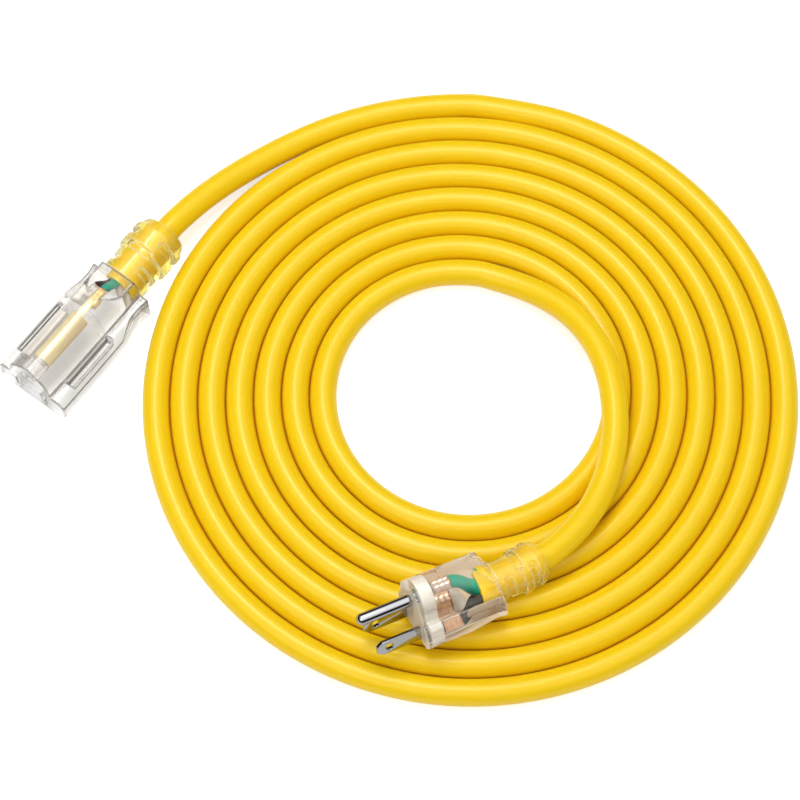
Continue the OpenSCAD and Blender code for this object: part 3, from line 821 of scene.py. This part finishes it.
def strain_relief(name, length, r_end, rear_x, axis_z, bend=None):
    """A sleeve ringed by slots: two rows to the sides, one to the top and bottom."""
    r_root, step, lip = 0.88 * r_end, 0.45 * length, RELIEF_LIP * length
    sleeve = lathed([
        (-END_GAP, r_root), (-step, r_root), (-step - 0.3, r_end),
        (lip - length, r_end), (-length, 0.8 * r_end),
    ])
    half, far = SLOT_W / 2, 2 * r_end
    cuts = []
    for at in SIDE_SLOTS_AT:
        for side in (-1, 1):
            y0, y1 = sorted((side * SPINE_HALF, side * far))
            slot = [(u - length * at, v) for u, v in soft_rect(half, y0, y1, half)]
            cuts.append(block(slot, "Z", -0.85 * r_end, 0.85 * r_end))
    slot = [(u - length * MIDDLE_SLOT_AT, v)
            for u, v in soft_rect(half, -0.515 * r_end, 0.515 * r_end, half)]
    for side in (-1, 1):
        cuts.append(block(slot, "Z", *sorted((side * 0.5 * r_end, side * far))))
    core = lathed([(-END_GAP, RELIEF_CORE * r_end), (END_GAP - length, RELIEF_CORE * r_end)])
    steps = [("DIFFERENCE", cut) for cut in cuts] + [("UNION", core)]
    made = shaped(name, sleeve, steps, SKIN_VOXEL, RELIEF_ROUNDS)
    if bend:
        for vertex in made.data.vertices:
            vertex.co = bend(vertex.co)
    made.data.transform(Matrix.Translation((rear_x, 0, axis_z)))
    return made


# %% The plug's housing and strain relief
SIDES = [(Vector((0, 0, -1)), 0.55, 1), (Vector((1, 0, 0)), 0.7, 2)]
PLUG_EDGES, PLUG_SEAM = (0.01, 0.04), (0.4, 0.3)


def dress_end(end, skin, relief, materials, place, edges, seam):
    """Gives an end's housing and strain relief their finish and place."""
    paint_sides(dressed(skin, *materials), SIDES)
    dressed(relief, CLEAR_RELIEF)
    for o, part, line in ((skin, "housing", seam), (relief, "strain_relief", None)):
        smooth(put(mark_edges(o, *edges, line), place))
        finish_piece(o, f"clear_{part}", f"{end}_{part}")


plug_skin = plug_housing()
plug_relief = strain_relief(
    "plug_strain_relief_skin", PLUG_RELIEF_L, PLUG_RELIEF_D / 2, -PLUG_BODY_L, PLUG_AXIS, bent)
dress_end("plug", plug_skin, plug_relief, (CLEAR_PLUG, PLUG_UNDERSIDE, MATT_FACE),
          PLUG_PLACE, PLUG_EDGES, PLUG_SEAM)

# %% [markdown]
# ## Bridge, pins and barrels of the plug
#
# The pins are stamped and plated, and a frosted bridge holds them in one piece.
# Real pins have broken edges and a rounded end, which catch the light.

# %% Plug bridge
BRIDGE_T, BRIDGE_R, BRIDGE_SET = 5.2, 5.99, 2.4
BRIDGE_BACK = -BRIDGE_SET - BRIDGE_T
LOBE_REACH, LOBE_HALF, LOBE_ROUND = 4.4, 4.675, 2.4
COLUMN_HALF = 4.49
BRIDGE_VOXEL = 0.22
PIN_Y = 6.35


def plug_bridge():
    span = "X", BRIDGE_BACK, -BRIDGE_SET
    lobes = block(soft_rect(PIN_Y + LOBE_REACH, -LOBE_HALF, LOBE_HALF, LOBE_ROUND), *span)
    crown = block(disc(BRIDGE_R, (0, GROUND_H)), *span)
    column = box(*span[1:], -COLUMN_HALF, COLUMN_HALF, 0, GROUND_H)
    return shaped("plug_bridge_frosted", lobes, [("UNION", crown), ("UNION", column)],
                  BRIDGE_VOXEL, SKIN_ROUNDS)


bridge = smooth(put(dressed(plug_bridge(), FROSTED), PLUG_PLACE))
finish_piece(bridge, "frosted_bridge", "plug_bridge")

# %% [markdown]
# A crimp barrel is a strip that a press rolls shut round the strands: a round bed
# with two lobes above it. Both ends have the same barrels.

# %% Crimped barrels
PLUG_BARREL, CONN_BARREL = (-15.2, -8.5), (-46.2, -38.5)
BARREL_RIDGES, RIDGE_SWELL, END_FLARE = 3, 0.07, 0.12
BED_R, LOBE_R, LOBE_OUT, LOBE_UP = 1.75, 1.05, 0.85, 0.95


def crimp(x0, x1, y, z, steps=24):
    """A folded barrel: two rolled lobes above one round bed, with pressed ridges."""
    rings = []
    for i in range(steps + 1):
        t = i / steps
        swell = 1 + RIDGE_SWELL * math.cos(math.tau * BARREL_RIDGES * t)
        flare = 1 + END_FLARE * abs(2 * t - 1) ** 4
        rings.append((x0 + (x1 - x0) * t, swell * flare))
    bed = lathed([(x, BED_R * k) for x, k in rings], (y, z), 32)
    lobes = [lathed([(x, LOBE_R * k) for x, k in rings],
                    (y + side * LOBE_OUT, z + LOBE_UP), 24) for side in (-1, 1)]
    return shaped("barrel", bed, [("UNION", lobe) for lobe in lobes])


# %% Blades and ground pin
BLADE_W, BLADE_T, BLADE_OUT = 6.35, 1.52, 17.8
BLADE_TAPER, BLADE_HOLE_R, BLADE_HOLE_IN = 1.6, 1.575, 5
GROUND_R, GROUND_OUT = 2.39, 21.8
SHANK_R, NECK_R, NECK_HALF = 2.14, 1.65, 1.5
NECK_IN = 0.2


def bevelled(o, width, segments=2):
    bevel = o.modifiers.new("edges", "BEVEL")
    bevel.width = width
    bevel.segments = segments
    bevel.limit_method = "ANGLE"
    bevel.angle_limit = math.radians(30)
    return baked(o, o.name)


def blade(name, side):
    """A flat pin with a tapered tip and a hole, on a neck and its barrel."""
    half, taper = BLADE_W / 2, BLADE_TAPER
    nose = [(BLADE_OUT - 1.5 * taper, -half), (BLADE_OUT, -half + taper),
            (BLADE_OUT, half - taper), (BLADE_OUT - 1.5 * taper, half)]
    outline = [(BRIDGE_BACK, -half), *nose, (BRIDGE_BACK, half)]
    y = side * PIN_Y
    flat = block(outline, "Y", y - BLADE_T / 2, y + BLADE_T / 2)
    hole = block(disc(BLADE_HOLE_R, (BLADE_OUT - BLADE_HOLE_IN, 0), 32), "Y", y - 2, y + 2)
    flat = bevelled(shaped("flat", flat, [("DIFFERENCE", hole)]), 0.22, 3)
    neck = box(PLUG_BARREL[1] - NECK_IN, BRIDGE_BACK, y - BLADE_T / 2, y + BLADE_T / 2,
               -NECK_HALF, NECK_HALF)
    return joined(name, *(dressed(o, NICKEL) for o in (flat, neck)),
                  dressed(crimp(*PLUG_BARREL, y, 0), BARE_COPPER))


def ground_pin():
    """A round pin with a domed tip, on a thinner shank, a neck and its barrel."""
    tip = [(GROUND_OUT - GROUND_R * (1 - math.sin(a)), max(GROUND_R * math.cos(a), 0.02))
           for a in np.linspace(0, math.pi / 2, 13)]
    shank = lathed([
        (BRIDGE_BACK, SHANK_R), (0.3, SHANK_R), (0.4, 2.25), (0.55, GROUND_R), *tip,
    ], (0, GROUND_H))
    neck = lathed([(PLUG_BARREL[1] - NECK_IN, NECK_R), (BRIDGE_BACK, NECK_R)], (0, GROUND_H))
    return joined("ground_pin", *(dressed(o, NICKEL) for o in (shank, neck)),
                  dressed(crimp(*PLUG_BARREL, 0, GROUND_H), TINNED))


plug_pins = [blade("line_blade", 1), blade("neutral_blade", -1), ground_pin()]
for pin in plug_pins:
    finish_piece(sharp_smooth(put(pin, PLUG_PLACE)), "plated_pins", f"plug_{pin.name}")

# %% [markdown]
# ## The connector's clear moulding
#
# The connector is longer, with a waist in front of its strain relief and a deep
# grip pocket in each wing. The block that holds the contacts shows through it.

# %% Openings in the face
LINE_SLOT_H, NEUTRAL_SLOT_H, SLOT_HALF_W = 7.05, 8.35, 1.01
GROUND_HOLE_R = 2.79


def openings(depth, margin):
    """Cutters for the two slots and the ground hole of the face."""
    half = SLOT_HALF_W + margin
    slots = [
        box(-depth, 1, y - half, y + half, -h / 2 - margin, h / 2 + margin)
        for y, h in ((-PIN_Y, LINE_SLOT_H), (PIN_Y, NEUTRAL_SLOT_H))
    ]
    return [*slots, lathed([(-depth, GROUND_HOLE_R + margin), (1, GROUND_HOLE_R + margin)],
                           (0, GROUND_H))]


# %% Connector housing
CONN_HALF, CONN_DROP, CONN_TOP, CONN_ROUND = 16.6, 7.0, 6.0, 4.0
CONN_WAIST = 13.4
POCKET_FROM, POCKET_L, POCKET_W = 9.5, 25.0, 3.4
POCKET_LOW, POCKET_TOP = 1.5, 9
CONTACT_SET, OPENING_MARGIN = 8.7, 0.25
CONN_VOXEL = 0.36


def connector_housing():
    rear = -CONN_BODY_L
    wings = block(soft_rect(CONN_HALF, -CONN_DROP, CONN_TOP, CONN_ROUND), "X", rear, 0)
    plan = block(both_sides([
        (0, 0), (0, CONN_HALF - 0.6), (-0.8, CONN_HALF),
        *s_run(-36, CONN_HALF - 0.2, rear + 8, CONN_WAIST),
        (rear + 4, CONN_WAIST), (rear + 1, CONN_WAIST + 0.7), (rear, CONN_WAIST + 0.7),
        (rear, 0),
    ]), "Z", -FAR, FAR)
    ridge = block(arch(RIDGE_R, -CONN_DROP, RIDGE_TOP), "X", rear, 0)
    low_end = CONN_AXIS + RIDGE_R
    ridge_view = block([
        (rear, -CONN_DROP), (0, -CONN_DROP), (0, RIDGE_TOP - 0.8), (-0.8, RIDGE_TOP),
        *s_run(rear + 18, RIDGE_TOP, rear + 6, low_end), (rear, low_end),
    ], "Y", -FAR, FAR)
    ridge = shaped("ridge", ridge, [("INTERSECT", ridge_view)])
    pocket_y = RIDGE_R + 0.5
    pockets = [
        box(-POCKET_FROM - POCKET_L, -POCKET_FROM,
            *sorted((side * pocket_y, side * (pocket_y + POCKET_W))), POCKET_LOW, POCKET_TOP)
        for side in (-1, 1)
    ]
    return shaped("connector_housing_skin", wings, [
        ("INTERSECT", plan), ("UNION", ridge), *(("DIFFERENCE", p) for p in pockets),
        *(("DIFFERENCE", t) for t in openings(CONTACT_SET, OPENING_MARGIN)),
    ], CONN_VOXEL, SKIN_ROUNDS)


# %% The connector's housing and strain relief
# Low limits widen the connector's painted dark edge lines.
CONN_EDGES, CONN_SEAM = (0.006, 0.025), (2.7, 0.5)
conn_skin = connector_housing()
conn_relief = strain_relief(
    "connector_strain_relief_skin", CONN_RELIEF_L, CONN_RELIEF_D / 2, -CONN_BODY_L, CONN_AXIS)
dress_end("connector", conn_skin, conn_relief, (CLEAR_CONN, CONN_UNDERSIDE, CONN_FACE),
          CONN_PLACE, CONN_EDGES, CONN_SEAM)

# %% [markdown]
# ## Jacket ends, conductors and strands
#
# Inside each end the jacket is cut off square, and the three conductors fan out
# to their barrels. Each is a bundle of fine copper strands in coloured vinyl.

# %% Lines of the conductors
WIRE_R = 1.95
LAY_R = WIRE_R * 1.2
CONDUCTORS = {
    "line": (1, BLACK, "black_insulation"),
    "neutral": (-1, WHITE, "white_insulation"),
    "ground": (0, GREEN, "green_insulation"),
}


def lay(side, turned):
    """Where a conductor lies in the cord, as y and z about the cord's axis."""
    a = math.radians(90 - 120 * side + turned)
    return LAY_R * math.cos(a), LAY_R * math.sin(a)


def pin_at(side):
    return (side * PIN_Y, 0.0) if side else (0.0, GROUND_H)


def fan_out(x0, x1, start, end, lift, steps=24):
    """A conductor's line from the cut jacket to its barrel: an S that may arch upwards."""
    line = []
    for t in np.linspace(0, 1, steps + 1):
        s = (1 - math.cos(math.pi * t)) / 2
        line.append(Vector((x0 + (x1 - x0) * t,
                            start[0] + (end[0] - start[0]) * s,
                            start[1] + (end[1] - start[1]) * s
                            + lift * math.sin(math.pi * t) ** 2)))
    return line


STRAND_R = 0.24
STRAND_RINGS = ((1, 0.0), (6, 2 * STRAND_R), (12, 3.9 * STRAND_R))
STRAND_TWIST = 0.35
STRAND_POINTS = 14


def strand_lines(x0, x1, middle):
    """Helical lines of a bundle: one in the middle, six round it, twelve outside."""
    lines = []
    for count, ring_r in STRAND_RINGS:
        for k in range(count):
            line = []
            for x in np.linspace(x0, x1, STRAND_POINTS):
                a = math.tau * k / count + STRAND_TWIST * (x - x0)
                line.append(Vector((x, middle[0] + ring_r * math.cos(a),
                                    middle[1] + ring_r * math.sin(a))))
            lines.append(line)
    return lines


# %% Jacket ends, conductors and bare strands
BARE_BEHIND, BARE_SHORT = 0.8, 0.3


def fitted(place, line):
    return [place @ p * MM for p in line]


def conductors(end, place, line_side, turned, axis_z, jacket, barrel, lifts):
    """Lists an end's new pieces: the jacket's end, conductors and bare strands."""
    piece = swept(f"{end}_jacket_stub", [fitted(place, jacket)], CORD_R, 1.0, 48, YELLOW)
    made = [finish_piece(piece, "yellow_jacket", f"{end}_jacket_end")]
    wire_x = barrel[0] - BARE_BEHIND
    for conductor, (turn_side, material, slot) in CONDUCTORS.items():
        side = turn_side * line_side
        y, z = lay(side, turned)
        target = pin_at(side)
        line = fan_out(jacket[-1].x, wire_x, (y, z + axis_z), target,
                       lifts.get(conductor, 0.0))
        wire = swept(f"{end}_{conductor}_conductor", [fitted(place, line)], WIRE_R, 0.5, 28,
                     material)
        made.append(finish_piece(wire, slot, f"{end}_{conductor}_wire"))
        lines = strand_lines(wire_x, barrel[1] - BARE_SHORT, target)
        copper = swept(f"{end}_{conductor}_copper", [fitted(place, l) for l in lines],
                       STRAND_R, 0.4, 6, COPPER)
        made.append(finish_piece(copper, "bare_copper", f"{end}_{conductor}_strands"))
    return made


PLUG_JACKET_IN, CONN_JACKET_IN = 7.0, 2.5
PLUG_CORES_TURNED = 35
PLUG_LIFTS = {"line": 3.4, "neutral": -1.5}
plug_jacket = [*(relief_point(s) for s in np.linspace(PLUG_RELIEF_L, 0, 22)),
               Vector((PLUG_JACKET_IN - PLUG_BODY_L, 0, PLUG_AXIS))]
conn_jacket = [Vector((-CONN_BODY_L - CONN_RELIEF_L, 0, CONN_AXIS)),
               Vector((CONN_JACKET_IN - CONN_BODY_L, 0, CONN_AXIS))]
plug_cores = conductors("plug", PLUG_PLACE, 1, PLUG_CORES_TURNED, PLUG_AXIS, plug_jacket,
                        PLUG_BARREL, PLUG_LIFTS)
conductors("connector", CONN_PLACE, -1, 0, CONN_AXIS, conn_jacket, CONN_BARREL, {})

# %% [markdown]
# ## Contacts of the connector and their block
#
# Each blade slips between two brass leaves, and the ground pin into a rolled
# sleeve. A block of thin, pale plastic holds the three in line with the slots of
# the face. Its front stands a hair proud of the clear moulding.

# %% Brass contacts
CONTACT_X0, CONTACT_X1 = -32.2, -CONTACT_SET
SLEEVE_R, BRASS_T = 2.46, 0.6
LEAF_PRESS = 0.05


def leaf_contact(name, y):
    """Two leaves that grip a blade, on a neck and a barrel."""
    outer = BLADE_T / 2 - LEAF_PRESS + BRASS_T
    half = BLADE_W / 2
    leaves = box(CONTACT_X0, CONTACT_X1, y - outer, y + outer, -half, half)
    gap = box(CONTACT_X0 + BRASS_T, CONTACT_X1 + 1, y - outer + BRASS_T, y + outer - BRASS_T,
              -2 * half, 2 * half)
    leaves = bevelled(shaped("leaves", leaves, [("DIFFERENCE", gap)]), 0.15)
    neck = box(CONN_BARREL[1] - NECK_IN, CONTACT_X0 + 0.1, y - BRASS_T, y + BRASS_T,
               -NECK_HALF, NECK_HALF)
    return joined(name, leaves, neck, crimp(*CONN_BARREL, y, 0))


def sleeve_contact():
    """A rolled sleeve, open in a slit underneath, on a raised neck and a barrel."""
    centre = (0, GROUND_H)
    sleeve = lathed([(x, SLEEVE_R + BRASS_T) for x in (CONTACT_X0, CONTACT_X1)], centre)
    bore = lathed([(x, SLEEVE_R) for x in (CONTACT_X0 - 1, CONTACT_X1 + 1)], centre)
    slit = box(CONTACT_X0 - 1, CONTACT_X1 + 1, -0.4, 0.4, GROUND_H - 5, GROUND_H)
    sleeve = bevelled(shaped("sleeve", sleeve, [("DIFFERENCE", bore), ("DIFFERENCE", slit)]),
                      0.12)
    top, back = GROUND_H + SLEEVE_R, CONN_BARREL[1] - 0.1
    neck = bevelled(box(back, CONTACT_X0 + 0.1, -1.4, 1.4, top, top + 0.55), 0.1)
    step = box(back, CONN_BARREL[1] + 1.1, -1.2, 1.2, GROUND_H + 0.6, top + 0.3)
    return joined("ground_contact_brass", sleeve, neck, step,
                  crimp(*CONN_BARREL, 0, GROUND_H))


for conductor, made, metal in (
    ("line", leaf_contact("line_contact_leaves", -PIN_Y), PLATED_LEAF),
    ("neutral", leaf_contact("neutral_contact_leaves", PIN_Y), PLATED_LEAF),
    ("ground", sleeve_contact(), BRASS),
):
    put(dressed(made, metal), CONN_PLACE)
    finish_piece(sharp_smooth(made), "brass_contacts", f"connector_{conductor}_contact")

# %% Contact carrier
CARRIER_L, CARRIER_PROUD = 35.7, 0.1
CASE_R, CASE_TOP = 6.4, GROUND_H + 4.4
BASE_HALF, BASE_LOW, BASE_TOP = 9.55, -5, 4.8
CARRIER_EDGES = (0.012, 0.05)
span = "X", -CARRIER_L, CARRIER_PROUD
case = block(arch(CASE_R, 0, CASE_TOP), *span)
base = block(soft_rect(BASE_HALF, BASE_LOW, BASE_TOP, 2), *span)
carrier = shaped("contact_carrier_block", case,
                 [("UNION", base), *(("DIFFERENCE", t) for t in openings(CARRIER_L + 1, 0))],
                 SKIN_VOXEL, 2)
carrier = smooth(put(mark_edges(dressed(carrier, CARRIER), *CARRIER_EDGES), CONN_PLACE))
finish_piece(carrier, "clear_carrier", "connector_contact_carrier")

# %% [markdown]

# %% [markdown]
# ## The floor
#
# A large sheet of matt paper takes the soft shadows. It is the stage, and no part
# of the object. Its own glow makes the background white for the camera and for
# what metal and clear vinyl reflect, and it lights nothing. Under the turns it is
# painted a deep amber, and glows amber there: a painted shade that stands in for
# the dark, warm gaps between the turns. The place under the turns is a ring that
# grows by one pitch in a round, as the coil does.

# %% Floor
FLOOR_SIZE = 6.0
floor = mesh_object(
    "floor",
    [(x * FLOOR_SIZE, y * FLOOR_SIZE, 0) for x, y in ((-1, -1), (1, -1), (1, 1), (-1, 1))],
    [(0, 1, 2, 3)],
)
paper, paper_shader, paper_out = new_material(
    "floor", {"Roughness": 0.9, "Specular IOR Level": 0.0})

# %% The floor's glow
FLOOR_GLOW = {"Camera": 0.62, "Glossy": 0.15, "Transmission": 0.4}
FLOOR_WHITE = (0.88, 0.88, 0.88)
# Painted shade: the floor under the turns is amber, so the gaps between the turns look dark
# and warm.
GAP_SHADE_AMBER = (0.5, 0.13, 0.004)
GAP_SHADE_WITHIN, WHITE_BEYOND = 2, 3


def floor_math(operation, *terms):
    """One step of arithmetic in the floor's material, from numbers and sockets."""
    step = node_in(paper, "ShaderNodeMath", dict(enumerate(terms)), operation=operation)
    return step.outputs[0]


ray = node_in(paper, "ShaderNodeLightPath").outputs
glows = [floor_math("MULTIPLY", ray[f"Is {kind} Ray"], glow)
         for kind, glow in FLOOR_GLOW.items()]
seen = floor_math("MAXIMUM", glows[0], floor_math("MAXIMUM", *glows[1:]))
place = node_in(paper, "ShaderNodeTexCoord").outputs["Object"]
away = node_in(paper, "ShaderNodeVectorMath", {0: place, 1: COIL_AT * MM},
               operation="SUBTRACT").outputs["Vector"]
x, y, _ = node_in(paper, "ShaderNodeSeparateXYZ", {"Vector": away}).outputs
reach = floor_math("SQRT", floor_math("ADD", floor_math("MULTIPLY", x, x),
                                      floor_math("MULTIPLY", y, y)))
round_by = floor_math("WRAP", floor_math("SUBTRACT", floor_math("ARCTAN2", y, x),
                                         math.radians(COIL_FROM)), math.tau, 0.0)
growth = floor_math("MULTIPLY", round_by, COIL_PITCH * MM / (math.tau))
half_w = (COIL_TURNS - 1) / 2 * COIL_PITCH
off = floor_math("ABSOLUTE", floor_math("SUBTRACT", floor_math("SUBTRACT", reach, growth),
                                        (COIL_INNER_R + half_w) * MM))
# 1 where the floor is free of the painted gap shade, 0 under the turns.
free_of_gap_shade = ranged(paper, off, 0.0, 1.0, (half_w - GAP_SHADE_WITHIN) * MM,
                    (half_w + WHITE_BEYOND) * MM, "SMOOTHSTEP")
# Painted shade: the floor's colour, and its glow with it, turn amber under the turns.
ground = two_tone(paper, free_of_gap_shade, GAP_SHADE_AMBER, FLOOR_WHITE)
feed(paper_shader, "Base Color", ground)
glow = node_in(paper, "ShaderNodeEmission", {"Color": ground, "Strength": seen})
total = node_in(paper, "ShaderNodeAddShader",
                {0: paper_shader.outputs["BSDF"], 1: glow.outputs["Emission"]})
feed(paper_out, "Surface", total.outputs["Shader"])
dressed(floor, paper)

# %% [markdown]
# ## Light
#
# The sky is even white light. What glossy and clear surfaces mirror is a dome that
# is bright only overhead, so that their sides stay dark and the edges show. Three
# soft lamps add the streaks on the turns.

# %% Sky
SKY_LIGHT = 0.6
DOMES = {"Is Glossy Ray": (0.5, 2.2), "Is Transmission Ray": (0.2, 1.0)}
DOME_TOP, DOME_DARK = 0.95, 0.01
world = bpy.data.worlds.new("studio")
world.use_nodes = True
bpy.context.scene.world = world
sky = world.node_tree.nodes["Background"]
feed(sky, "Color", (1, 1, 1, 1))
ray = node_in(world, "ShaderNodeLightPath").outputs
way = node_in(world, "ShaderNodeTexCoord").outputs["Generated"]
height = node_in(world, "ShaderNodeSeparateXYZ", {"Vector": way}).outputs["Z"]
shown = SKY_LIGHT
for kind, (dark_to, brightest) in DOMES.items():
    dome = ranged(world, height, DOME_DARK, brightest, dark_to, DOME_TOP, "SMOOTHSTEP")
    shown = mixed(world, ray[kind], shown, dome)
feed(sky, "Strength", mixed(world, ray["Is Camera Ray"], shown, 1.0))


# %% Softboxes
def softbox(name, at, size, power):
    """A soft lamp that looks at the middle of the table."""
    light = bpy.data.lights.new(name, "AREA")
    light.shape = "RECTANGLE"
    light.size, light.size_y = size
    light.energy = power
    lamp = new_object(name, light)
    lamp.location = at
    lamp.rotation_mode = "QUATERNION"
    lamp.rotation_quaternion = (-Vector(at)).to_track_quat("-Z", "Y")


softbox("back_light", (-0.22, 0.45, 1.4), (0.5, 0.4), 6)
softbox("top_light", (-0.05, 0.06, 1.5), (0.6, 0.3), 3.8)
softbox("front_light", (-0.6, -0.8, 1.1), (0.9, 0.9), 3)
bpy.context.scene.view_settings.view_transform = "Standard"
print(len(bpy.data.lights), "lamps")

# %% [markdown]

# %% End
import json
